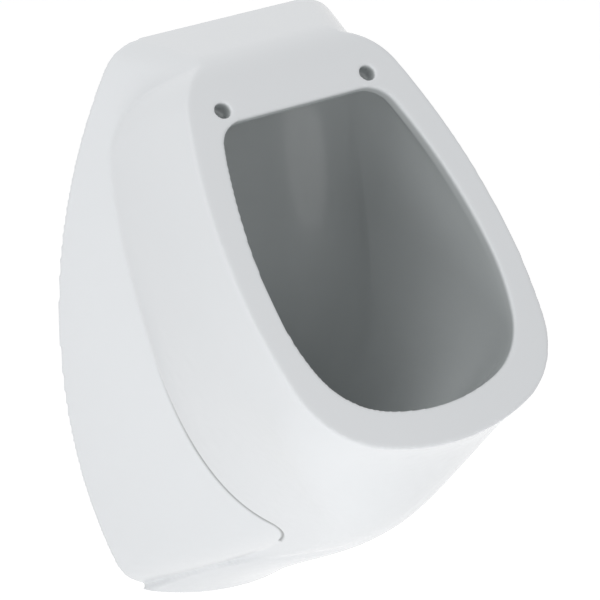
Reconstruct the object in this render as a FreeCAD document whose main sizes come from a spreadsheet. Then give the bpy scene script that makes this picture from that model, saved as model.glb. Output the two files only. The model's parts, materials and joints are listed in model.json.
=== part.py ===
import FreeCAD, Part
import math
import os

# Wall hung urinal in vitreous china, in millimetres.
# Frame: X to the right as one faces it, Y into the wall, Z up. The wall is the plane Y = 0,
# the plane of symmetry is X = 0, and Z = 0 is the level of the flat top edge at the wall.

doc = FreeCAD.newDocument("wall_hung_urinal")
sheet = doc.addObject("Spreadsheet::Sheet", "Dimensions")

# Driving dimensions: alias, value.
DIMENSIONS = [
    # rear shell (skirt): outline on the wall and where its draft ends inside the bowl
    ("shell_wall_top", 0.0), ("shell_wall_bottom", 541.0), ("shell_wall_half", 178.1),
    ("shell_wall_widest", 245.0), ("shell_wall_upper_radius", 490.0),
    ("shell_wall_lower_radius", 650.0), ("shell_wall_top_corner", 42.0),
    ("shell_wall_low_corner", 60.0), ("shell_wall_bottom_radius", 3000.0),
    ("shell_front_top", 8.9), ("shell_front_bottom", 430.3), ("shell_front_half", 95.4),
    ("shell_front_widest", 247.3), ("shell_front_upper_radius", 600.0),
    ("shell_front_lower_radius", 450.1), ("shell_front_top_corner", 30.0),
    ("shell_front_low_corner", 43.7), ("shell_front_bottom_radius", 1500.0),
    ("shell_reach", 178.0),
    # rim: the plane of the seat-like front face, and its outer outline
    ("rim_start_y", 98.2), ("rim_start_z", 19.2), ("rim_slope", 45.66),
    ("rim_top", -21.0), ("rim_bottom", 358.0), ("rim_half", 140.3), ("rim_widest", 201.0),
    ("rim_upper_radius", 550.0), ("rim_lower_radius", 380.0), ("rim_top_corner", 62.0),
    ("rim_low_corner", 90.0), ("rim_bottom_radius", 230.0),
    # opening in the rim plane
    ("mouth_top", 33.5), ("mouth_bottom", 323.3), ("mouth_half", 114.8), ("mouth_widest", 203.0),
    ("mouth_upper_radius", 490.0), ("mouth_lower_radius", 210.0), ("mouth_top_corner", 28.0),
    ("mouth_low_corner", 75.0), ("mouth_bottom_radius", 180.0), ("mouth_lip", 10.0),
    # sections of the bowl's outside, each a plane that starts at the wall and slopes down
    ("rim_trim", 6.0), ("top_blend_radius", 60.0),
    ("waist_y", 0.0), ("waist_z", 100.0), ("waist_slope", 37.5), ("waist_top", -14.0),
    ("waist_bottom", 379.0), ("waist_half", 147.9), ("waist_widest", 160.0),
    ("waist_upper_radius", 1400.0), ("waist_lower_radius", 426.1), ("waist_top_corner", 45.0),
    ("waist_low_corner", 85.0), ("waist_bottom_radius", 180.0),
    ("belly_y", 0.0), ("belly_z", 270.0), ("belly_slope", 30.8), ("belly_top", -16.0),
    ("belly_bottom", 276.4), ("belly_half", 122.1), ("belly_widest", 77.9),
    ("belly_upper_radius", 800.0), ("belly_lower_radius", 261.6), ("belly_top_corner", 45.0),
    ("belly_low_corner", 59.0), ("belly_bottom_radius", 100.0),
    ("keel_y", 0.0), ("keel_z", 426.0), ("keel_slope", 19.5), ("keel_top", -20.0),
    ("keel_bottom", 152.4), ("keel_half", 86.1), ("keel_widest", 21.8),
    ("keel_upper_radius", 300.0), ("keel_lower_radius", 168.4), ("keel_top_corner", 30.0),
    ("keel_low_corner", 31.7), ("keel_bottom_radius", 60.0),
    ("foot_y", 0.0), ("foot_z", 541.0), ("foot_slope", 0.0), ("foot_top", -40.0),
    ("foot_bottom", 50.0), ("foot_half", 95.6), ("foot_widest", 0.0),
    ("foot_upper_radius", 200.0), ("foot_lower_radius", 60.0), ("foot_top_corner", 20.0),
    ("foot_low_corner", 20.0), ("foot_bottom_radius", 120.0),
    # sections of the basin inside the bowl, and its flat floor
    ("basin_upper_y", -40.0), ("basin_upper_z", 38.0), ("basin_upper_slope", 48.5),
    ("basin_upper_top", 0.0), ("basin_upper_bottom", 356.0), ("basin_upper_half", 119.0),
    ("basin_upper_widest", 200.0), ("basin_upper_upper_radius", 560.0),
    ("basin_upper_lower_radius", 280.0), ("basin_upper_top_corner", 60.0),
    ("basin_upper_low_corner", 75.0), ("basin_upper_bottom_radius", 160.0),
    ("basin_lower_y", -40.0), ("basin_lower_z", 250.0), ("basin_lower_slope", 28.0),
    ("basin_lower_top", 0.0), ("basin_lower_bottom", 205.0), ("basin_lower_half", 97.0),
    ("basin_lower_widest", 75.0), ("basin_lower_upper_radius", 500.0),
    ("basin_lower_lower_radius", 170.0), ("basin_lower_top_corner", 60.0),
    ("basin_lower_low_corner", 60.0), ("basin_lower_bottom_radius", 100.0),
    ("basin_foot_y", -36.0), ("basin_foot_z", 352.0), ("basin_foot_slope", 10.0),
    ("basin_foot_top", 0.0), ("basin_foot_bottom", 128.0), ("basin_foot_half", 68.0),
    ("basin_foot_widest", 58.0), ("basin_foot_upper_radius", 110.0),
    ("basin_foot_lower_radius", 100.0), ("basin_foot_top_corner", 38.0),
    ("basin_foot_low_corner", 48.0), ("basin_foot_bottom_radius", 82.0),
    ("floor_y", -26.0), ("floor_slope", 0.0), ("floor_top", 0.0), ("floor_bottom", 94.0),
    ("floor_half", 47.0), ("floor_widest", 46.0), ("floor_upper_radius", 70.0),
    ("floor_lower_radius", 70.0), ("floor_top_corner", 25.0), ("floor_low_corner", 35.0),
    ("floor_bottom_radius", 60.0), ("floor_extra", 1.0),
    # lid hinge holes, square to the rim plane
    ("lid_hole_pitch", 155.0), ("lid_hole_down", 21.2), ("lid_hole_diameter", 14.8),
    ("lid_hole_depth", 13.0),
    # walls
    ("china_wall", 11.0), ("hollow_reach", 140.0), ("hollow_reach_top", 330.0),
    ("hollow_back_reach", 70.0),
    # drain
    ("drain_y", 66.0), ("floor_z", 400.0), ("drain_hole", 50.0),
    ("waste_thread", 46.0), ("waste_bore", 34.0), ("waste_flange", 70.0),
    ("waste_flange_thickness", 3.0), ("waste_seal_thickness", 1.5), ("waste_tube_end", 436.0),
    ("nut_clearance", 0.15), ("under_seal_thickness", 3.0), ("slip_washer_thickness", 1.5),
    ("waste_nut_thickness", 9.0), ("waste_nut_corner_radius", 37.0),
    ("dip_tube_outer", 33.0), ("dip_tube_inner", 29.0), ("dip_tube_end", 478.0),
    ("dip_rim_diameter", 41.0), ("dip_rim_recess", 42.0), ("dip_rim_thickness", 1.5),
    ("strainer_diameter", 50), ("strainer_rise", 9.0), ("strainer_thickness", 2.0),
    ("strainer_boss", 10.0), ("strainer_hole", 4.0), ("strainer_inner_ring", 8.0),
    ("strainer_outer_ring", 12.3),
    ("ring_wire", 2.0),
    ("trap_cap_top", 430.0), ("trap_cap_thickness", 7.0), ("trap_flange", 72.0),
    ("trap_seal_thickness", 2.0), ("trap_flange_thickness", 3.0), ("trap_outer", 62.0),
    ("trap_inner", 56.0), ("trap_bottom", 488.0), ("trap_floor", 3.0),
    ("clamp_outer", 80.0), ("clamp_gap", 0.5), ("clamp_lip", 3.5),
    ("outlet_axis", 463.0), ("outlet_outer", 40.0), ("outlet_inner", 36.0),
    ("outlet_overlap", 12.0), ("outlet_bead", 43.0), ("outlet_bead_width", 1.5),
    ("outlet_bead_end", 12.5),
    ("outlet_stub_outer", 45.0), ("outlet_stub_end", 22.0), ("outlet_end", 2.0),
    ("outlet_nut_outer", 54.0), ("outlet_nut_length", 8.0), ("outlet_seal_length", 2.5),
    # flush inlet
    ("inlet_z", 61.0), ("inlet_hole", 34.0), ("inlet_pad", 46.0), ("inlet_pad_front", 34.0),
    ("inlet_pad_back", 21.0), ("inlet_spot_room", 14.0), ("inlet_thread", 32.0), ("inlet_bore", 24.0),
    ("inlet_flange", 42.0), ("inlet_flange_thickness", 2.5), ("inlet_seal_thickness", 2.0),
    ("inlet_socket", 28.0), ("inlet_socket_depth", 15.0),
    ("overcut", 1.0), ("seal_setback", 2.0), ("washer_setback", 4.0), ("ring_fit", 0.06),
    ("dip_groove", 31.4), ("pipe_clearance", 0.4), ("nut_bore_clearance", 0.3),
    ("clamp_grip", 4.0), ("stub_room", 2.0), ("outlet_nut_overlap", 3.0),
    ("spreader_groove", 20.8), ("spreader_ring_inset", 6.0), ("spreader_web", 1.0),
    ("inlet_end", 2.0), ("inlet_nut_thickness", 8.0), ("inlet_nut_corner_radius", 23.0),
    ("spreader_stem", 23.8), ("spreader_stem_length", 20.0), ("spreader_head", 30.0),
    ("spreader_head_thickness", 5.0), ("spreader_gap", 4.0), ("spreader_bore", 16.0),
    # wall hangers
    ("hanger_x", 98.0), ("hanger_width", 40.0), ("hanger_steel", 3.0), ("hanger_top", 56.0),
    ("hanger_bottom", 118.0), ("hanger_shelf_z", 74.0), ("hanger_reach", 20.0),
    ("hanger_hole", 9.0), ("hanger_hole_upper", 86.0), ("hanger_hole_lower", 106.0),
    ("pad_thickness", 1.5), ("lug_width", 34.0), ("lug_back", 5.0), ("lug_front", 15.0),
]
for row, (alias, value) in enumerate(DIMENSIONS, start=1):
    sheet.set(f"A{row}", alias)
    sheet.set(f"B{row}", str(value))
    sheet.setAlias(f"B{row}", alias)
doc.recompute()


def dim(alias):
    """The number in the sheet."""
    return float(sheet.get(alias))


def bind(thing, **formulas):
    """Tie properties of a document object to formulas on the sheet's aliases."""
    for prop, formula in formulas.items():
        text = formula
        for alias in sorted((name for name, _ in DIMENSIONS), key=len, reverse=True):
            text = text.replace(f"<{alias}>", f"Dimensions.{alias}")
        thing.setExpression(prop.replace("__", "."), text)


Vector = FreeCAD.Vector


# ---------------------------------------------------------------- outline and loft of the china
def outline(frame, top, bottom, half, widest, upper, lower, top_corner, low_corner, bottom_radius):
    """An egg-shaped wire: flat top, rounded corners, two long side arcs and a round bottom."""
    start, slope = frame
    angle = math.radians(slope)
    down = Vector(0, -math.cos(angle), -math.sin(angle))

    def at(across, along):
        return start + Vector(across, 0, 0) + down * along

    def toward(centre, point, radius):
        reach = math.hypot(point[0] - centre[0], point[1] - centre[1])
        return tuple(c + (p - c) * radius / reach for c, p in zip(centre, point))

    def middle(centre, first, last):
        halfway = tuple((a + b) / 2 for a, b in zip(first, last))
        return toward(centre, halfway, math.hypot(first[0] - centre[0], first[1] - centre[1]))

    upper_centre = (half - upper, widest)
    lower_centre = (half - lower, widest)
    bottom_centre = (0.0, bottom - bottom_radius)
    corner_rise = top + top_corner - widest
    corner = (upper_centre[0] + math.sqrt((upper - top_corner) ** 2 - corner_rise ** 2),
              top + top_corner)
    # the low corner's circle touches the lower side arc and the bottom arc from inside
    gap = math.dist(lower_centre, bottom_centre)
    to_lower, to_bottom = lower - low_corner, bottom_radius - low_corner
    along_gap = (to_lower ** 2 - to_bottom ** 2 + gap ** 2) / (2 * gap)
    off_gap = math.sqrt(to_lower ** 2 - along_gap ** 2)
    unit = tuple((b - a) / gap for a, b in zip(lower_centre, bottom_centre))
    low = (lower_centre[0] + along_gap * unit[0] - off_gap * unit[1],
           lower_centre[1] + along_gap * unit[1] + off_gap * unit[0])
    joints = [(corner[0], top), toward(upper_centre, corner, upper), (half, widest),
              toward(lower_centre, low, lower), toward(bottom_centre, low, bottom_radius)]
    centres = [corner, upper_centre, lower_centre, low]
    middles = [middle(c, a, b) for c, a, b in zip(centres, joints, joints[1:])]

    def mirrored(point):
        return (-point[0], point[1])

    edges = [Part.LineSegment(at(*mirrored(joints[0])), at(*joints[0])).toShape()]
    for first, between, last in zip(joints, middles, joints[1:]):
        edges.append(Part.Arc(at(*first), at(*between), at(*last)).toShape())
    edges.append(Part.Arc(at(*joints[-1]), at(0, bottom), at(*mirrored(joints[-1]))).toShape())
    for first, between, last in reversed(list(zip(joints, middles, joints[1:]))):
        edges.append(Part.Arc(at(*mirrored(last)), at(*mirrored(between)),
                              at(*mirrored(first))).toShape())
    return Part.Wire(edges)


OUTLINE_FIELDS = ("top", "bottom", "half", "widest", "upper_radius", "lower_radius",
                  "top_corner", "low_corner", "bottom_radius")


def outline_sizes(name, inset=0.0):
    """The nine outline dimensions called name_..., drawn in by a wall's thickness."""
    sizes = [dim(f"{name}_{field}") for field in OUTLINE_FIELDS]
    change = (inset, -inset, -inset, 0, -inset, -inset, -inset, -inset, -inset)
    return [size + step for size, step in zip(sizes, change)]


def frame(y, z, slope):
    return Vector(0, y, z), slope


def raised(start_frame, height):
    """The same plane moved along its outward normal."""
    start, slope = start_frame
    angle = math.radians(slope)
    return start + Vector(0, -math.sin(angle), math.cos(angle)) * height, slope


RIM = frame(-dim("rim_start_y"), -dim("rim_start_z"), dim("rim_slope"))
LOFT_DEGREE = 3
VERTICAL = 90.0


def loft(wires):
    return Part.makeLoft(wires, True, False, False, LOFT_DEGREE)


def bowl_outside(inset):
    """The bowl from the rim to the foot, through planes that turn from the rim's to level."""
    rim_lift = dim("rim_trim") if inset == 0 else -inset
    wires = [outline(raised(RIM, rim_lift), *outline_sizes("rim", inset))]
    for name in ("waist", "belly", "keel", "foot"):
        plane = frame(dim(f"{name}_y"), -dim(f"{name}_z"), dim(f"{name}_slope"))
        lift = inset if name == "foot" else 0
        wires.append(outline(raised(plane, lift), *outline_sizes(name, inset)))
    return loft(wires)


def bowl_inside(outset):
    """The basin from the mouth in the rim to the flat floor round the drain."""
    mouth = outline_sizes("mouth", -outset)
    lip_depth = dim("mouth_lip") - outset
    lip = Part.makeLoft([outline(raised(RIM, dim("rim_trim")), *mouth),
                         outline(raised(RIM, -lip_depth), *mouth)], True, True)
    wires = [outline(raised(RIM, -lip_depth), *mouth)]
    for name in ("basin_upper", "basin_lower", "basin_foot", "floor"):
        plane = frame(dim(f"{name}_y"), -dim(f"{name}_z"), dim(f"{name}_slope"))
        drop = outset + dim("floor_extra") if name == "floor" and outset else 0
        wires.append(outline(raised(plane, -drop), *outline_sizes(name, -outset)))
    return loft(wires).fuse(lip)


def shell(inset):
    """The rear shell: the wall outline drawn in evenly as it comes forward."""
    wires = [outline(frame(0, 0, VERTICAL), *outline_sizes("shell_wall", inset)),
             outline(frame(-dim("shell_reach"), 0, VERTICAL), *outline_sizes("shell_front", inset))]
    return Part.makeLoft(wires, True, True)


# ---------------------------------------------------------------- the china casting
FAR = 700.0
OVERCUT = 1.0


def block(x0, x1, y0, y1, z0, z1):
    return Part.makeBox(x1 - x0, y1 - y0, z1 - z0, Vector(x0, y0, z0))


def rim_cutter():
    """Everything in front of the rim plane, rolled over into the flat top by one large arc."""
    drop = (dim("shell_front_top") - dim("shell_wall_top")) / dim("shell_reach")
    rim_start, slope = RIM
    rim_angle = math.radians(slope)
    top_angle = math.atan(drop)
    forward_top = Vector(0, -math.cos(top_angle), -math.sin(top_angle))
    forward_rim = Vector(0, -math.cos(rim_angle), -math.sin(rim_angle))
    # where the line of the flat top meets the line of the rim
    fall = math.tan(rim_angle)
    edge_y = -(fall * dim("rim_start_y") - dim("rim_start_z")) / (fall - drop)
    edge = Vector(0, edge_y, edge_y * drop)
    tangent = dim("top_blend_radius") * math.tan((rim_angle - top_angle) / 2)
    first, last = edge - forward_top * tangent, edge + forward_rim * tangent
    bisector = (forward_rim - forward_top).normalize()
    centre_gap = dim("top_blend_radius") / math.cos((rim_angle - top_angle) / 2)
    between = edge + bisector * (centre_gap - dim("top_blend_radius"))
    below, high = edge + forward_rim * FAR, Vector(0, 0, FAR)
    behind = first + Vector(0, dim("china_wall"), dim("china_wall"))
    path = [Part.Arc(first, between, last).toShape()]
    corners = [last, below, below + Vector(0, -FAR, 0), below + Vector(0, -FAR, 0) + high * 2,
               behind + high, behind, first]
    path += [Part.LineSegment(a, b).toShape() for a, b in zip(corners, corners[1:])]
    face = Part.Face(Part.Wire(path))
    face.translate(Vector(-FAR, 0, 0))
    return face.extrude(Vector(2 * FAR, 0, 0))


def cylinder(radius, start, end):
    run = end - start
    return Part.makeCylinder(radius, run.Length, start, run)


def on_rim(across, along, height=0.0):
    start, slope = raised(RIM, height)
    angle = math.radians(slope)
    return start + Vector(across, -math.cos(angle) * along, -math.sin(angle) * along)


def china():
    wall = dim("china_wall")
    outside = shell(0).fuse(bowl_outside(0))
    solid = outside.cut(rim_cutter()).cut(bowl_inside(0))
    hollow = shell(wall).fuse(bowl_outside(wall)).cut(bowl_inside(wall))
    behind_bowl = block(-FAR, FAR, -dim("hollow_back_reach"), FAR, -FAR, FAR)
    round_trap = block(-FAR, FAR, -dim("hollow_reach"), FAR, -FAR, -dim("hollow_reach_top"))
    solid = solid.cut(hollow.common(behind_bowl.fuse(round_trap)))
    # the flat pad for the flush inlet and the lugs that hang on the wall hooks
    inlet_front = Vector(0, -dim("inlet_pad_front"), -dim("inlet_z"))
    inlet_back = Vector(0, -dim("inlet_pad_back"), -dim("inlet_z"))
    solid = solid.fuse(cylinder(dim("inlet_pad") / 2, inlet_front, inlet_back))
    room = Vector(0, dim("inlet_spot_room"), 0)
    solid = solid.cut(cylinder(dim("inlet_pad") / 2, inlet_front - room, inlet_front))
    solid = solid.cut(cylinder(dim("inlet_pad") / 2, inlet_back, inlet_back + room))
    half_lug = dim("lug_width") / 2
    lug_bottom = -dim("hanger_shelf_z") + dim("pad_thickness")
    for side in (-1, 1):
        centre = side * dim("hanger_x")
        lug = block(centre - half_lug, centre + half_lug, -dim("lug_front"), -dim("lug_back"),
                    lug_bottom, 0)
        solid = solid.fuse(lug.common(outside))
    solid = solid.common(block(-FAR, FAR, -FAR, 0, -FAR, FAR))
    # holes
    past = Vector(0, OVERCUT, 0)
    solid = solid.cut(cylinder(dim("inlet_hole") / 2, inlet_front - past, inlet_back + past))
    drain_top = Vector(0, -dim("drain_y"), -dim("floor_z") + OVERCUT)
    drain_low = drain_top - Vector(0, 0, dim("china_wall") + dim("floor_extra") + 2 * OVERCUT)
    solid = solid.cut(cylinder(dim("drain_hole") / 2, drain_low, drain_top))
    for side in (-1, 1):
        across, along = side * dim("lid_hole_pitch") / 2, dim("lid_hole_down")
        solid = solid.cut(cylinder(dim("lid_hole_diameter") / 2, on_rim(across, along, OVERCUT),
                                   on_rim(across, along, -dim("lid_hole_depth"))))
    return solid


# ---------------------------------------------------------------- assembly
NODES = []


def keep(thing, label):
    """Name a finished document object and put it on the list of pieces."""
    thing.Label = label
    NODES.append(thing)
    return thing


def feature(name, shape):
    """A working solid that no primitive fits, or the china itself."""
    thing = doc.addObject("Part::Feature", name)
    thing.Shape = shape
    return thing


UPRIGHT = FreeCAD.Rotation()
INTO_WALL = FreeCAD.Rotation(Vector(1, 0, 0), -90)


def rod(name, diameter, length, x="0", y="0", z="0", turn=UPRIGHT):
    """A bound cylinder; its length runs up, or into the wall when turned."""
    thing = doc.addObject("Part::Cylinder", name)
    thing.Placement = FreeCAD.Placement(Vector(), turn)
    bind(thing, Radius=f"({diameter}) / 2", Height=length,
         Placement__Base__x=x, Placement__Base__y=y, Placement__Base__z=z)
    return thing


def cuboid(name, length, width, height, x, y, z):
    thing = doc.addObject("Part::Box", name)
    bind(thing, Length=length, Width=width, Height=height,
         Placement__Base__x=x, Placement__Base__y=y, Placement__Base__z=z)
    return thing


def hexagon(name, corner_radius, length, x="0", y="0", z="0", turn=UPRIGHT):
    thing = doc.addObject("Part::Prism", name)
    thing.Polygon = 6
    thing.Placement = FreeCAD.Placement(Vector(), turn)
    bind(thing, Circumradius=corner_radius, Height=length,
         Placement__Base__x=x, Placement__Base__y=y, Placement__Base__z=z)
    return thing


def cut(name, base, tool):
    thing = doc.addObject("Part::Cut", name)
    thing.Base, thing.Tool = base, tool
    return thing


def fuse(name, *shapes):
    thing = doc.addObject("Part::MultiFuse", name)
    thing.Shapes = list(shapes)
    return thing


def washer(label, outer, inner, length, x="0", y="0", z="0", turn=UPRIGHT):
    """A plain ring: outer and inner diameters are formulas."""
    place = {"x": x, "y": y, "z": z, "turn": turn}
    return keep(cut(label, rod(f"{label}_disc", outer, length, **place),
                    rod(f"{label}_hole", inner, length, **place)), label)


def hex_nut(label, corner_radius, bore, length, x="0", y="0", z="0", turn=UPRIGHT):
    place = {"x": x, "y": y, "z": z, "turn": turn}
    return keep(cut(label, hexagon(f"{label}_hexagon", corner_radius, length, **place),
                    rod(f"{label}_bore", bore, length, **place)), label)


DRAIN_Y = "-<drain_y>"
FLANGE_UNDER = "-<floor_z> + <waste_seal_thickness>"
FLANGE_TOP = f"{FLANGE_UNDER} + <waste_flange_thickness>"
CHINA_UNDER = "-<floor_z> - <china_wall> - <floor_extra>"


def waste_set():
    """The threaded waste through the basin floor, its seals, washer and lock nut."""
    washer("waste_top_seal", "<waste_flange> - <seal_setback>", "<waste_thread> + <nut_clearance> * 2",
           "<waste_seal_thickness>", y=DRAIN_Y, z="-<floor_z>")
    flange = rod("waste_flange_disc", "<waste_flange>", "<waste_flange_thickness>",
                 y=DRAIN_Y, z=FLANGE_UNDER)
    tube = rod("waste_tube", "<waste_thread>", f"<waste_tube_end> + {FLANGE_TOP}",
               y=DRAIN_Y, z="-<waste_tube_end>")
    bore = rod("waste_tube_bore", "<waste_bore>", f"<waste_tube_end> + {FLANGE_TOP}",
               y=DRAIN_Y, z="-<waste_tube_end>")
    recess = rod("waste_rim_recess", "<dip_rim_recess>", "<dip_rim_thickness>",
                 y=DRAIN_Y, z=f"{FLANGE_TOP} - <dip_rim_thickness>")
    body = fuse("waste_outside", flange, tube)
    keep(cut("waste_fitting", body, fuse("waste_inside", bore, recess)), "waste_fitting")
    thread_bore = "<waste_thread> + <nut_clearance> * 2"
    washer("waste_under_seal", "<waste_flange>", thread_bore, "<under_seal_thickness>",
           y=DRAIN_Y, z=f"{CHINA_UNDER} - <under_seal_thickness>")
    washer_under = f"{CHINA_UNDER} - <under_seal_thickness> - <slip_washer_thickness>"
    washer("waste_slip_washer", "<waste_flange> - <washer_setback>", thread_bore,
           "<slip_washer_thickness>", y=DRAIN_Y, z=washer_under)
    hex_nut("waste_lock_nut", "<waste_nut_corner_radius>", thread_bore,
            "<waste_nut_thickness>", y=DRAIN_Y, z=f"{washer_under} - <waste_nut_thickness>")


def lift_out_set():
    """The dip tube that forms the water seal, its ring, and the strainer clipped on top."""
    tube = rod("dip_tube_wall", "<dip_tube_outer>", f"<dip_tube_end> + {FLANGE_TOP}",
               y=DRAIN_Y, z="-<dip_tube_end>")
    rim = rod("dip_tube_rim", "<dip_rim_diameter>", "<dip_rim_thickness>",
              y=DRAIN_Y, z=f"{FLANGE_TOP} - <dip_rim_thickness>")
    bore = rod("dip_tube_bore", "<dip_tube_inner>", f"<dip_tube_end> + {FLANGE_TOP}",
               y=DRAIN_Y, z="-<dip_tube_end>")
    groove_z = "-<floor_z> - <china_wall>"
    groove_ring = rod("dip_groove_ring", "<dip_tube_outer> + <overcut>", "<ring_wire>",
                      y=DRAIN_Y, z=groove_z)
    groove_core = rod("dip_groove_core", "<dip_groove>", "<ring_wire>",
                      y=DRAIN_Y, z=groove_z)
    solid = cut("dip_tube_solid", fuse("dip_tube_outside", tube, rim), bore)
    keep(cut("dip_tube", solid, cut("dip_groove", groove_ring, groove_core)), "dip_tube")
    washer("dip_tube_ring", "<waste_bore> - <ring_fit>", "<dip_groove>", "<ring_wire>",
           y=DRAIN_Y, z=groove_z)
    plate = rod("strainer_plate", "<strainer_diameter>", "<strainer_thickness>",
                y=DRAIN_Y, z=FLANGE_TOP)
    dome = rod("strainer_boss", "<strainer_boss>", "<strainer_rise>",
               y=DRAIN_Y, z=FLANGE_TOP)
    outside = fuse("strainer_outside", plate, dome)
    holes = []
    for ring, count in (("inner", 8), ("outer", 12)):
        for number in range(count):
            turn = 360.0 * number / count
            place = {"x": f"<strainer_{ring}_ring> * cos({turn})",
                     "y": f"{DRAIN_Y} + <strainer_{ring}_ring> * sin({turn})"}
            holes.append(rod(f"strainer_hole_{len(holes)}", "<strainer_hole>",
                             "<strainer_thickness>", z=FLANGE_TOP, **place))
    keep(cut("strainer", outside, fuse("strainer_holes", *holes)), "strainer")


def trap_set():
    """The bottle trap under the waste: cap, seal, cup, clamp ring and the outlet to the wall."""
    cap_bottom = "-<trap_cap_top> - <trap_cap_thickness>"
    washer("trap_cap", "<trap_flange>", "<waste_thread> + <nut_clearance> * 2",
           "<trap_cap_thickness>", y=DRAIN_Y, z=cap_bottom)
    seal_bottom = f"{cap_bottom} - <trap_seal_thickness>"
    washer("trap_seal", "<trap_flange>", "<trap_inner>", "<trap_seal_thickness>",
           y=DRAIN_Y, z=seal_bottom)
    flange_bottom = f"{seal_bottom} - <trap_flange_thickness>"
    flange = rod("trap_cup_flange", "<trap_flange>", "<trap_flange_thickness>",
                 y=DRAIN_Y, z=flange_bottom)
    cup = rod("trap_cup_wall", "<trap_outer>", f"<trap_bottom> + {seal_bottom}",
              y=DRAIN_Y, z="-<trap_bottom>")
    stub = rod("trap_stub", "<outlet_stub_outer>", "<drain_y> - <outlet_stub_end>",
               y=DRAIN_Y, z="-<outlet_axis>", turn=INTO_WALL)
    outside = fuse("trap_cup_outside", flange, cup, stub)
    hollow = rod("trap_cup_hollow", "<trap_inner>",
                 f"<trap_bottom> + {seal_bottom} - <trap_floor>", y=DRAIN_Y, z="-<trap_bottom> + <trap_floor>")
    socket = rod("trap_stub_bore", "<outlet_outer> + <pipe_clearance>", "<drain_y> - <outlet_stub_end>",
                 y=DRAIN_Y, z="-<outlet_axis>", turn=INTO_WALL)
    keep(cut("trap_cup", outside, fuse("trap_cup_inside", hollow, socket)), "trap_cup")
    ring_outer = rod("clamp_outside", "<clamp_outer>",
                     "<trap_seal_thickness> + <trap_flange_thickness> + <clamp_lip> + <clamp_grip>",
                     y=DRAIN_Y, z=f"{flange_bottom} - <clamp_lip>")
    ring_wide = rod("clamp_wide_bore", "<trap_flange> + <clamp_gap>",
                    "<trap_seal_thickness> + <trap_flange_thickness> + <clamp_grip>",
                    y=DRAIN_Y, z=flange_bottom)
    ring_narrow = rod("clamp_narrow_bore", "<trap_outer> + <clamp_gap>", "<clamp_lip>",
                      y=DRAIN_Y, z=f"{flange_bottom} - <clamp_lip>")
    stub_room = rod("clamp_stub_room", "<outlet_stub_outer> + <stub_room>", "<drain_y>",
                    y=DRAIN_Y, z="-<outlet_axis>", turn=INTO_WALL)
    keep(cut("trap_clamp_ring", ring_outer,
             fuse("clamp_inside", ring_wide, ring_narrow, stub_room)), "trap_clamp_ring")


def outlet_set():
    """The horizontal tail pipe, its seal and the compression nut that holds it in the cup."""
    along = {"z": "-<outlet_axis>", "turn": INTO_WALL}
    pipe_start = "-<outlet_stub_end> - <outlet_overlap>"
    pipe_length = "<outlet_stub_end> + <outlet_overlap> - <outlet_end>"
    pipe = rod("outlet_pipe_wall", "<outlet_outer>", pipe_length, y=pipe_start, **along)
    bead = rod("outlet_pipe_bead", "<outlet_bead>", "<outlet_bead_width>",
               y="-<outlet_bead_end> - <outlet_bead_width>", **along)
    bore = rod("outlet_pipe_bore", "<outlet_inner>", pipe_length, y=pipe_start, **along)
    keep(cut("outlet_pipe", fuse("outlet_pipe_outside", pipe, bead), bore), "outlet_pipe")
    washer("outlet_seal", "<outlet_stub_outer>", "<outlet_outer>", "<outlet_seal_length>",
           y="-<outlet_stub_end>", **along)
    shell_length = "<outlet_nut_length> + <outlet_seal_length>"
    nut_start = "-<outlet_stub_end> - <outlet_nut_overlap>"
    nut = rod("outlet_nut_outside", "<outlet_nut_outer>", shell_length,
              y=nut_start, **along)
    deep = rod("outlet_nut_deep_bore", "<outlet_stub_outer> + <nut_bore_clearance>",
               "<outlet_seal_length> + <outlet_nut_overlap>", y=nut_start, **along)
    through = rod("outlet_nut_bore", "<outlet_outer> + <pipe_clearance>", shell_length,
                  y=nut_start, **along)
    keep(cut("outlet_nut", nut, fuse("outlet_nut_inside", deep, through)), "outlet_nut")


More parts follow.
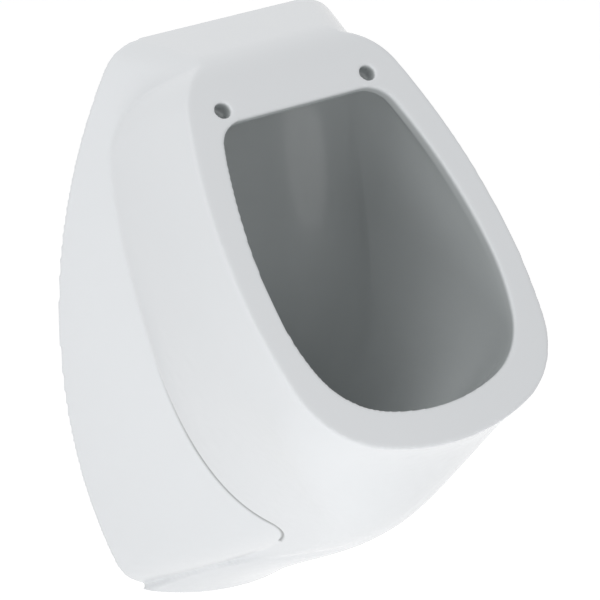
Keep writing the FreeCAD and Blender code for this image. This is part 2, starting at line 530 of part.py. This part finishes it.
def inlet_set():
    """The threaded flush inlet through the back of the basin and the spreader pushed into it."""
    across = {"z": "-<inlet_z>", "turn": INTO_WALL}
    flange_back = "-<inlet_pad_front> - <inlet_seal_thickness>"
    flange_front = f"{flange_back} - <inlet_flange_thickness>"
    thread_bore = "<inlet_thread> + <nut_clearance> * 2"
    washer("inlet_front_seal", "<inlet_flange>", thread_bore, "<inlet_seal_thickness>",
           y=flange_back, **across)
    flange = rod("inlet_flange_disc", "<inlet_flange>", "<inlet_flange_thickness>",
                 y=flange_front, **across)
    length = f"-<inlet_end> - ({flange_front})"
    tube = rod("inlet_tube", "<inlet_thread>", length, y=flange_front, **across)
    bore = rod("inlet_tube_bore", "<inlet_bore>", length, y=flange_front, **across)
    socket = rod("inlet_socket_bore", "<inlet_socket>", "<inlet_socket_depth>",
                 y="-<inlet_end> - <inlet_socket_depth>", **across)
    keep(cut("inlet_spigot", fuse("inlet_outside", flange, tube),
             fuse("inlet_way", bore, socket)), "inlet_spigot")
    washer("inlet_back_seal", "<inlet_flange>", thread_bore, "<inlet_seal_thickness>",
           y="-<inlet_pad_back>", **across)
    slip = "-<inlet_pad_back> + <inlet_seal_thickness>"
    washer("inlet_slip_washer", "<inlet_flange>", thread_bore, "<slip_washer_thickness>",
           y=slip, **across)
    hex_nut("inlet_lock_nut", "<inlet_nut_corner_radius>", thread_bore,
            "<inlet_nut_thickness>", y=f"{slip} + <slip_washer_thickness>", **across)
    stem = rod("spreader_stem_rod", "<spreader_stem>",
               "<spreader_stem_length> + <spreader_gap>",
               y=f"{flange_front} - <spreader_gap>", **across)
    head = rod("spreader_head_disc", "<spreader_head>", "<spreader_head_thickness>",
               y=f"{flange_front} - <spreader_gap> - <spreader_head_thickness>", **across)
    way = rod("spreader_bore_rod", "<spreader_bore>",
              "<spreader_stem_length> + <spreader_gap>",
              y=f"{flange_front} - <spreader_gap>", **across)
    groove_y = f"{flange_front} + <spreader_ring_inset>"
    groove = cut("spreader_groove", rod("spreader_groove_ring", "<spreader_stem> + <overcut>",
                                        "<ring_wire>", y=groove_y, **across),
                 rod("spreader_groove_core", "<spreader_groove>", "<ring_wire>",
                     y=groove_y, **across))
    slot_y = f"{flange_front} - <spreader_gap>"
    slot_width = "<spreader_gap> - <spreader_web>"
    slot = cuboid("spreader_slot", "<spreader_stem> + <overcut>", slot_width,
                  "<spreader_bore> / 2", "-(<spreader_stem> + <overcut>) / 2", slot_y,
                  "-<inlet_z> - <spreader_bore> / 4")
    fan = cuboid("spreader_fan", "<spreader_bore>", slot_width,
                 "(<spreader_stem> + <overcut>) / 2", "-<spreader_bore> / 2", slot_y,
                 "-<inlet_z> - (<spreader_stem> + <overcut>) / 2")
    inside = fuse("spreader_inside", way, groove, slot, fan)
    keep(cut("flush_spreader", fuse("spreader_outside", stem, head), inside), "flush_spreader")
    washer("spreader_ring", "<inlet_bore> - <ring_fit>", "<spreader_groove>", "<ring_wire>",
           y=groove_y, **across)


def hanger_set():
    """Two folded steel hooks screwed to the wall and the plastic pads the china rests on."""
    hooks, pads = [], []
    for number, side in enumerate(("-", "")):
        left = f"{side}<hanger_x> - <hanger_width> / 2"
        plate = cuboid(f"hanger_plate_{number}", "<hanger_width>", "<hanger_steel>",
                       "<hanger_bottom> - <hanger_top>", left, "-<hanger_steel>",
                       "-<hanger_bottom>")
        shelf_z = "-<hanger_shelf_z> - <hanger_steel>"
        shelf = cuboid(f"hanger_shelf_{number}", "<hanger_width>", "<hanger_reach>",
                       "<hanger_steel>", left, "-<hanger_reach>", shelf_z)
        lip = cuboid(f"hanger_lip_{number}", "<hanger_width>", "<hanger_steel>",
                     "<hanger_shelf_z> - <hanger_top> + <hanger_steel>", left,
                     "-<hanger_reach>", shelf_z)
        steel = fuse(f"hanger_steel_{number}", plate, shelf, lip)
        holes = [rod(f"hanger_hole_{number}_{level}", "<hanger_hole>", "<hanger_steel>",
                     x=f"{side}<hanger_x>", y="-<hanger_steel>", z=f"-<hanger_hole_{level}>",
                     turn=INTO_WALL) for level in ("upper", "lower")]
        hooks.append(cut(f"hanger_{number}", steel, fuse(f"hanger_holes_{number}", *holes)))
        pads.append(cuboid(f"hanger_pad_{number}", "<lug_width>", "<lug_front> - <lug_back>",
                           "<pad_thickness>", f"{side}<hanger_x> - <lug_width> / 2",
                           "-<lug_front>", "-<hanger_shelf_z>"))
    keep(fuse("hanger_hooks", *hooks), "hanger_hooks")
    keep(fuse("hanger_pads", *pads), "hanger_pads")


keep(feature("urinal_body", china()), "urinal_body")
waste_set()
lift_out_set()
trap_set()
outlet_set()
inlet_set()
hanger_set()
doc.recompute()

for thing in doc.Objects:
    if "Invalid" in thing.State or "Error" in thing.State:
        raise RuntimeError(f"{thing.Name} failed: {thing.State}")
for piece in NODES:
    if piece.Shape.isNull() or not piece.Shape.isValid():
        raise RuntimeError(f"{piece.Label} has no valid shape")

os.makedirs("parts", exist_ok=True)
for piece in NODES:
    piece.Shape.exportStep(f"parts/{piece.Label}.step")
    print(f"{piece.Label}: {len(piece.Shape.Solids)} solid(s), {piece.Shape.Volume:.0f} mm3")
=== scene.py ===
import json
import math

import bmesh
import bpy
import numpy as np
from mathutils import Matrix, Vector
from mathutils.bvhtree import BVHTree
from mathutils.kdtree import KDTree


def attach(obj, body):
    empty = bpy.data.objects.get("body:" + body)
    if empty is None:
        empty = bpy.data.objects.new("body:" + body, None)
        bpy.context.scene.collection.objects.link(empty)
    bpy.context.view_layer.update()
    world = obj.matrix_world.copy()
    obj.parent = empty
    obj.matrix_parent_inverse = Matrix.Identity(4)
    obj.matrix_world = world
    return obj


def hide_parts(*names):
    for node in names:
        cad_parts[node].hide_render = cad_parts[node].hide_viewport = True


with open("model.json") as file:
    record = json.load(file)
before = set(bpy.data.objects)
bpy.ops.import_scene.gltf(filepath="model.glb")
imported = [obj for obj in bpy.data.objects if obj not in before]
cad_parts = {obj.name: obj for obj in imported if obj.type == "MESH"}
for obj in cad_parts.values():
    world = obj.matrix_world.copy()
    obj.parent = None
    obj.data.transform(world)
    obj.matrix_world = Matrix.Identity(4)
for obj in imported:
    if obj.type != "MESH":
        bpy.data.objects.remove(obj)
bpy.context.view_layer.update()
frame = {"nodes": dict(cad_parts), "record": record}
NODES = frame["nodes"]

# ---------------------------------------------------------------- materials

# The names under which the china's mesh carries its two marks, each from 0 to 1: where shade is
# painted into the glaze of the basin and lid holes, and along the fold.
BASIN_SHADE_MARK = "basin_painted_shade"
FOLD_SHADE_MARK = "fold_shade"


class Graph:
    """A node material with one Principled shader, written in short calls."""

    def __init__(self, name, **sockets):
        self.material = bpy.data.materials.new(name)
        self.material.use_nodes = True
        self.nodes = self.material.node_tree.nodes
        self.links = self.material.node_tree.links
        self.shader = self.nodes["Principled BSDF"]
        for socket, value in sockets.items():
            self.shader.inputs[socket.replace("_", " ")].default_value = value
        self.place = self.add("ShaderNodeTexCoord").outputs["Object"]

    def add(self, kind, **settings):
        """A new shader node with the given settings."""
        node = self.nodes.new(kind)
        for key, value in settings.items():
            setattr(node, key, value)
        return node

    def noise(self, scale, detail=3.0, stretch=(1, 1, 1), roughness=0.55):
        """Noise in the object's own space, from 0 to 1."""
        mapping = self.add("ShaderNodeMapping")
        mapping.inputs["Scale"].default_value = stretch
        self.links.new(self.place, mapping.inputs["Vector"])
        texture = self.add("ShaderNodeTexNoise")
        texture.inputs["Scale"].default_value = scale
        texture.inputs["Detail"].default_value = detail
        texture.inputs["Roughness"].default_value = roughness
        self.links.new(mapping.outputs["Vector"], texture.inputs["Vector"])
        return texture.outputs["Fac"]

    def mark(self, name):
        """A value that the mesh carries for each vertex."""
        return self.add("ShaderNodeAttribute", attribute_name=name).outputs["Fac"]

    def spread(self, value, low, high, start=0.0, end=1.0):
        """The value's run from start to end laid over low to high."""
        node = self.add("ShaderNodeMapRange")
        node.inputs["From Min"].default_value = start
        node.inputs["From Max"].default_value = end
        node.inputs["To Min"].default_value = low
        node.inputs["To Max"].default_value = high
        self.links.new(value, node.inputs["Value"])
        return node.outputs["Result"]

    def mix(self, value, first, second):
        """Two colours mixed by a value; each may be a socket or a colour."""
        node = self.add("ShaderNodeMix", data_type="RGBA")
        self.links.new(value, node.inputs[0])
        for socket, colour in ((node.inputs[6], first), (node.inputs[7], second)):
            if isinstance(colour, bpy.types.NodeSocket):
                self.links.new(colour, socket)
            else:
                socket.default_value = (*colour, 1.0)
        return node.outputs[2]

    def into(self, socket, value):
        """Feeds a value into the shader."""
        self.links.new(value, self.shader.inputs[socket])
        return self

    def bump(self, height, distance, strength):
        """Lets a height shape the surface's light by up to the distance, in metres."""
        node = self.add("ShaderNodeBump")
        node.inputs["Strength"].default_value = strength
        node.inputs["Distance"].default_value = distance
        self.links.new(height, node.inputs["Height"])
        return self.into("Normal", node.outputs["Normal"])


def glaze_with_painted_shade(name, outside, shaded_inside, fold_shade):
    """Fired white glaze, with painted shade: a darker grey where the mesh is marked as basin or as
    fold.

    outside and the basin's pair are colours that drift into each other; the basin's pair is painted
    shade.
    """
    graph = Graph(name, IOR=1.5, Coat_Weight=0.25, Coat_Roughness=0.06)
    colour = graph.mix(graph.noise(6.0, 2.0), *outside)
    basin_shade_colour = graph.mix(graph.noise(9.0, 3.0), *shaded_inside)
    # Painted shade: where the mesh is marked as basin or lid hole, the glaze turns a darker grey.
    colour = graph.mix(graph.mark(BASIN_SHADE_MARK), colour, basin_shade_colour)
    # Painted shade: a dark grey line laid along the fold's groove.
    colour = graph.mix(graph.mark(FOLD_SHADE_MARK), colour, fold_shade)
    graph.into("Base Color", colour)
    graph.into("Roughness", graph.spread(graph.noise(60.0, 4.0), 0.16, 0.28))
    return graph.bump(graph.noise(14.0, 2.0), 0.0006, 0.25).material


def metal(name, light, dark, roughness, grain=(1, 1, 1), scale=260.0, depth=0.00008):
    """Bare or plated metal with tool or brush marks along one direction."""
    graph = Graph(name, Metallic=1.0)
    marks = graph.noise(scale, 6.0, grain, 0.7)
    graph.into("Base Color", graph.mix(graph.spread(marks, 0.0, 1.0, 0.3, 0.7), dark, light))
    graph.into("Roughness", graph.spread(marks, *roughness, 0.25, 0.75))
    return graph.bump(marks, depth, 0.5).material


def plastic(name, light, dark, roughness):
    """Moulded plastic: fine spark-eroded grain and a slow drift of tone."""
    graph = Graph(name, IOR=1.46)
    graph.into("Base Color", graph.mix(graph.noise(35.0, 4.0), dark, light))
    graph.into("Roughness", graph.spread(graph.noise(420.0, 3.0), *roughness))
    return graph.bump(graph.noise(900.0, 3.0), 0.00006, 0.6).material


def rubber(name):
    """Moulded black rubber with a dusty bloom."""
    graph = Graph(name, IOR=1.5)
    bloom = graph.spread(graph.noise(120.0, 5.0, roughness=0.7), 0.0, 1.0, 0.4, 0.75)
    graph.into("Base Color", graph.mix(bloom, (0.012, 0.012, 0.013), (0.05, 0.05, 0.052)))
    graph.into("Roughness", graph.spread(bloom, 0.55, 0.85))
    return graph.bump(graph.noise(700.0, 4.0), 0.0001, 0.6).material


MATERIALS = {
    "black_rubber": rubber("black_rubber"),
    "bright_chrome": metal("bright_chrome", (0.8, 0.81, 0.83), (0.7, 0.71, 0.74), (0.05, 0.14)),
    "white_plastic": plastic("white_plastic", (0.8, 0.8, 0.77), (0.72, 0.72, 0.69), (0.35, 0.5)),
    "grey_plastic": plastic("grey_plastic", (0.2, 0.21, 0.22), (0.15, 0.155, 0.165), (0.4, 0.6)),
    "stainless": metal("stainless", (0.62, 0.62, 0.63), (0.46, 0.46, 0.47), (0.22, 0.4),
                       grain=(1, 12, 12)),
    "plated_steel": metal("plated_steel", (0.66, 0.66, 0.62), (0.5, 0.51, 0.5), (0.3, 0.5),
                          scale=90.0),
    "bare_brass": metal("bare_brass", (0.72, 0.52, 0.22), (0.58, 0.4, 0.16), (0.2, 0.4),
                        grain=(1, 1, 14)),
}

slot_of = {part["node"]: part["material_slot"] for part in frame["record"]["subparts"]}
for node_name, node in NODES.items():
    if slot_of[node_name] in MATERIALS:
        node.data.materials.clear()
        node.data.materials.append(MATERIALS[slot_of[node_name]])

# ---------------------------------------------------------------- the china

# Lengths are in metres, in the frame of the part.
# The glazed skin: the size of its even mesh, and how much its corners are rounded.
VOXEL = 0.0016
SMOOTH_FACTOR = 0.5
SMOOTH_ROUNDS = 10

# The glaze's colours: a pair that drifts outside, a darker pair of painted shade in the basin, and
# one of painted shade for the fold.
OUTSIDE_GLAZE = ((0.79, 0.81, 0.83), (0.77, 0.79, 0.81))
BASIN_PAINTED_SHADE = ((0.5, 0.525, 0.53), (0.46, 0.485, 0.49))
FOLD_PAINTED_SHADE = (0.3, 0.31, 0.31)

# The plane of the rim, and the bent line through the basin from the mouth to the drain.
RIM_POINT = Vector((0.0, -0.0982, -0.0192))
RIM_SLOPE = math.radians(45.66)
RIM_NORMAL = Vector((0.0, -math.sin(RIM_SLOPE), math.cos(RIM_SLOPE)))
BASIN_AXIS = [Vector((0.0, -0.215, -0.15)), Vector((0.0, -0.12, -0.23)), Vector((0.0, -0.07, -0.39))]

# Where the basin's painted shade lies: how deep below the rim it fades in, how far its skin can be
# from the axis, and the back and the floor that it stays in front of and above.
LIP_FADE = 0.004
BASIN_REACH = 0.25
BACK_OF_BASIN = -0.02
BASIN_FLOOR = -0.402
SKIN_CLEARANCE = 0.0004

# The two lid holes: how deep below the rim their painted shade fades in, and how deep they go.
HOLE_FADE = 0.003
HOLE_REACH = 0.014

# What counts as the fold in the CAD mesh: how sharp an inward edge is, how far out it sees only
# open air, and how long a run of such edges is. Edges on faces turned down more than UNDERSIDE,
# and edges below FOLD_END, are left out.
SAME_POINT = 1e-6
FOLD_ANGLE = math.radians(6.0)
OPEN_AIR = 0.5
SHORTEST_RUN = 0.04
UNDERSIDE = -0.7
FOLD_END = -0.45

# The groove and its painted shade: the spacing of the points along it, the skin around it that is
# refined, and in how many rounds, then its width and depth, and the heights between which it and its
# shade grow from nothing.
FOLD_STEP = 0.0004
FOLD_REGION = 0.006
FOLD_CUTS = 3
FOLD_WIDTH = 0.0013
FOLD_DEPTH = 0.0013
FOLD_FADE = (-0.26, -0.35)


def nearest_on_axis(point):
    """The nearest point of the bent line that runs from the mouth down to the drain."""
    best = None
    for first, last in zip(BASIN_AXIS, BASIN_AXIS[1:]):
        run = last - first
        share = min(1.0, max(0.0, (point - first).dot(run) / run.length_squared))
        place = first + run * share
        if best is None or (place - point).length < (best - point).length:
            best = place
    return best


def china_piece():
    """The fired casting: the CAD body with the soft edges that glaze gives every corner."""
    mesh = NODES["urinal_body"].data.copy()
    piece = bpy.data.objects.new("glazed_body", mesh)
    bpy.context.collection.objects.link(piece)
    remesh = piece.modifiers.new("even_skin", "REMESH")
    remesh.mode = "VOXEL"
    remesh.voxel_size = VOXEL
    remesh.use_smooth_shade = True
    soften = piece.modifiers.new("soft_edges", "SMOOTH")
    soften.factor = SMOOTH_FACTOR
    soften.iterations = SMOOTH_ROUNDS
    evaluated = piece.evaluated_get(bpy.context.evaluated_depsgraph_get())
    piece.data = bpy.data.meshes.new_from_object(evaluated)
    piece.modifiers.clear()
    return piece


def read(mesh, field):
    """One vector for each vertex, as an array."""
    flat = np.empty(len(mesh.vertices) * 3, np.float32)
    mesh.vertices.foreach_get(field, flat)
    return flat.reshape(-1, 3)


def mark_basin_shade(piece):
    """Marks the skin of the basin and of the two lid holes with 1, and the outside with 0, for the
    shade painted into the glaze there.
    """
    mesh = piece.data
    points, normals = read(mesh, "co"), read(mesh, "normal")
    rim_normal = np.array(RIM_NORMAL)
    depth = (np.array(RIM_POINT) - points) @ rim_normal
    marks = np.zeros(len(points), np.float32)
    for mount in frame["record"]["mounts"]:
        if mount["name"].startswith("lid_hinge"):
            away = points - np.array(mount["pos_m"])
            away -= np.outer(away @ rim_normal, rim_normal)
            radius = mount["dims"]["r_mm"] / 1000
            shaded_inside = np.linalg.norm(away, axis=1) < radius + SKIN_CLEARANCE
            shaded_inside &= (depth > 0) & (depth < HOLE_REACH)
            marks[shaded_inside] = np.clip(depth[shaded_inside] / HOLE_FADE, 0, 1)
    tree = BVHTree.FromObject(piece, bpy.context.evaluated_depsgraph_get())
    in_reach = (depth > 0) & (points[:, 1] < BACK_OF_BASIN) & (points[:, 2] > BASIN_FLOOR)
    for index in np.flatnonzero(in_reach):
        point, normal = Vector(points[index]), Vector(normals[index])
        toward = nearest_on_axis(point) - point
        if toward.dot(normal) > 0.0 and toward.length < BASIN_REACH and not tree.ray_cast(
                point + normal * SKIN_CLEARANCE, toward.normalized(), toward.length)[0]:
            marks[index] = max(marks[index], min(1.0, depth[index] / LIP_FADE))
    attribute = mesh.attributes.new(BASIN_SHADE_MARK, "FLOAT", "POINT")
    attribute.data.foreach_set("value", marks)


def fold_points():
    """Points along the sharp fold outside, where the bowl grows out of the rear shell."""
    cad = bmesh.new()
    cad.from_mesh(NODES["urinal_body"].data)
    bmesh.ops.remove_doubles(cad, verts=cad.verts, dist=SAME_POINT)
    tree = BVHTree.FromBMesh(cad)
    edges = set()
    for edge in cad.edges:
        if len(edge.link_faces) != 2 or edge.calc_face_angle_signed() > -FOLD_ANGLE:
            continue
        middle = (edge.verts[0].co + edge.verts[1].co) / 2
        outward = sum((face.normal for face in edge.link_faces), Vector()).normalized()
        if not tree.ray_cast(middle + outward * VOXEL * 2, outward, OPEN_AIR)[0]:
            edges.add(edge)
    points = []
    while edges:
        run, front = [], [edges.pop()]
        while front:
            edge = front.pop()
            run.append(edge)
            joined = {other for vertex in edge.verts for other in vertex.link_edges} & edges
            edges -= joined
            front += joined
        if sum(edge.calc_length() for edge in run) < SHORTEST_RUN:
            continue
        for edge in run:
            first, last = (vertex.co for vertex in edge.verts)
            if first.z > FOLD_END and min(face.normal.z for face in edge.link_faces) > UNDERSIDE:
                count = max(1, int((last - first).length / FOLD_STEP))
                points += [first.lerp(last, share / count) for share in range(count + 1)]
    cad.free()
    return points


def faces_out(vertex):
    """Whether a vertex is on the lower outer side of the body."""
    return vertex.co.z < FOLD_FADE[0] and vertex.co.x * vertex.normal.x > 0.0


def press_fold(piece):
    """Presses the fold in as a fine groove that fades out toward the top, and marks it for the shade
    painted into the glaze there.
    """
    points = fold_points()
    near = KDTree(len(points))
    for index, point in enumerate(points):
        near.insert(point, index)
    near.balance()
    skin = bmesh.new()
    skin.from_mesh(piece.data)
    for _ in range(FOLD_CUTS):
        close = {vertex for vertex in skin.verts if faces_out(vertex)
                 and near.find(vertex.co)[2] < FOLD_REGION}
        edges = [edge for edge in skin.edges if edge.verts[0] in close and edge.verts[1] in close]
        bmesh.ops.subdivide_edges(skin, edges=edges, cuts=1, use_grid_fill=True)
    skin.normal_update()
    # This mark sets both how deep the groove is pressed and how much shade is painted into it.
    depth = skin.verts.layers.float.new(FOLD_SHADE_MARK)
    pushes = []
    for vertex in filter(faces_out, skin.verts):
        away = near.find(vertex.co)[2]
        if away < FOLD_REGION:
            fade = min(1.0, (FOLD_FADE[0] - vertex.co.z) / (FOLD_FADE[0] - FOLD_FADE[1]))
            vertex[depth] = fade * math.exp(-(away / FOLD_WIDTH) ** 2)
            pushes.append((vertex, vertex.normal * FOLD_DEPTH * vertex[depth]))
    for vertex, push in pushes:
        vertex.co -= push
    for face in skin.faces:
        face.smooth = True
    skin.to_mesh(piece.data)
    skin.free()


china = china_piece()
press_fold(china)
mark_basin_shade(china)
china.data.materials.clear()
china.data.materials.append(glaze_with_painted_shade("glazed_china", OUTSIDE_GLAZE, BASIN_PAINTED_SHADE, FOLD_PAINTED_SHADE))
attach(china, "fixed_body")
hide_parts("urinal_body")

# ---------------------------------------------------------------- floor, light and camera

FLOOR_Z = -1.15
FLOOR_HALF = 14.0
FLOOR_TONE = (0.8, 0.8, 0.8, 1)
FLOOR_ROUGHNESS = 0.9
FLOOR_GLOW = 0.5
WHITE = (1, 1, 1, 1)
WORLD_LIGHT = 0.58
LIT_CENTRE = Vector((0.0, -0.12, -0.27))
CAMERA_SENSOR = 36.0
CAMERA_LENS = 206.53
CAMERA_PLACE = (-1.6598, -2.3418, 1.0088)
CAMERA_AIM = Vector((0.0214, -0.0894, -0.2455))

world = bpy.data.worlds.new("studio")
bpy.context.scene.world = world
world.use_nodes = True
background = world.node_tree.nodes["Background"]
background.inputs["Color"].default_value = WHITE
background.inputs["Strength"].default_value = WORLD_LIGHT


def white_to_the_eye(tree, lit_socket, shown, output):
    """Mixes in plain white for what the camera, gloss and glass see; other rays get the lit one."""
    path = tree.nodes.new("ShaderNodeLightPath")
    seen = path.outputs["Is Camera Ray"]
    for ray in ("Is Glossy Ray", "Is Transmission Ray"):
        either = tree.nodes.new("ShaderNodeMath")
        either.operation = "MAXIMUM"
        tree.links.new(seen, either.inputs[0])
        tree.links.new(path.outputs[ray], either.inputs[1])
        seen = either.outputs[0]
    mix = tree.nodes.new("ShaderNodeMixShader")
    tree.links.new(seen, mix.inputs[0])
    tree.links.new(lit_socket, mix.inputs[1])
    tree.links.new(shown, mix.inputs[2])
    tree.links.new(mix.outputs[0], output)


shown_world = world.node_tree.nodes.new("ShaderNodeBackground")
shown_world.inputs["Color"].default_value = WHITE
shown_world.inputs["Strength"].default_value = 1.0
white_to_the_eye(world.node_tree, background.outputs[0], shown_world.outputs[0],
                 world.node_tree.nodes["World Output"].inputs["Surface"])

floor_mesh = bpy.data.meshes.new("floor")
floor_mesh.from_pydata([(x * FLOOR_HALF, y * FLOOR_HALF, FLOOR_Z)
                        for x, y in ((-1, -1), (1, -1), (1, 1), (-1, 1))], [], [(0, 1, 2, 3)])
floor = bpy.data.objects.new("floor", floor_mesh)
bpy.context.collection.objects.link(floor)
floor_material = bpy.data.materials.new("pale_floor")
floor_material.use_nodes = True
floor_tree = floor_material.node_tree
lit = floor_tree.nodes["Principled BSDF"]
lit.inputs["Base Color"].default_value = FLOOR_TONE
lit.inputs["Roughness"].default_value = FLOOR_ROUGHNESS
glow = floor_tree.nodes.new("ShaderNodeEmission")
glow.inputs["Strength"].default_value = FLOOR_GLOW
lit_and_glowing = floor_tree.nodes.new("ShaderNodeAddShader")
floor_tree.links.new(lit.outputs[0], lit_and_glowing.inputs[0])
floor_tree.links.new(glow.outputs[0], lit_and_glowing.inputs[1])
white_to_the_eye(floor_tree, lit.outputs[0], lit_and_glowing.outputs[0],
                 floor_tree.nodes["Material Output"].inputs["Surface"])
floor_mesh.materials.append(floor_material)


def lamp(name, place, size, power):
    """A square soft box that points at the part and isn't mirrored in the glaze."""
    data = bpy.data.lights.new(name, "AREA")
    data.shape, data.size, data.energy = "SQUARE", size, power
    box = bpy.data.objects.new(name, data)
    bpy.context.collection.objects.link(box)
    box.location = place
    box.visible_glossy = False
    box.rotation_euler = (LIT_CENTRE - Vector(place)).to_track_quat("-Z", "Y").to_euler()


lamp("key", place=(-1.3, 0.1, 2.0), size=1.6, power=19.0)
lamp("left_fill", place=(-2.3, -1.2, -0.3), size=1.4, power=2.5)
lamp("low_fill", place=(-0.7, -1.3, -1.05), size=1.0, power=14.0)

camera_data = bpy.data.cameras.new("camera")
camera_data.sensor_width = CAMERA_SENSOR
camera_data.lens = CAMERA_LENS
camera = bpy.data.objects.new("camera", camera_data)
bpy.context.collection.objects.link(camera)
camera.location = CAMERA_PLACE
camera.rotation_euler = (CAMERA_AIM - camera.location).to_track_quat("-Z", "Y").to_euler()
bpy.context.scene.camera = camera
bpy.context.scene.view_settings.view_transform = "Standard"
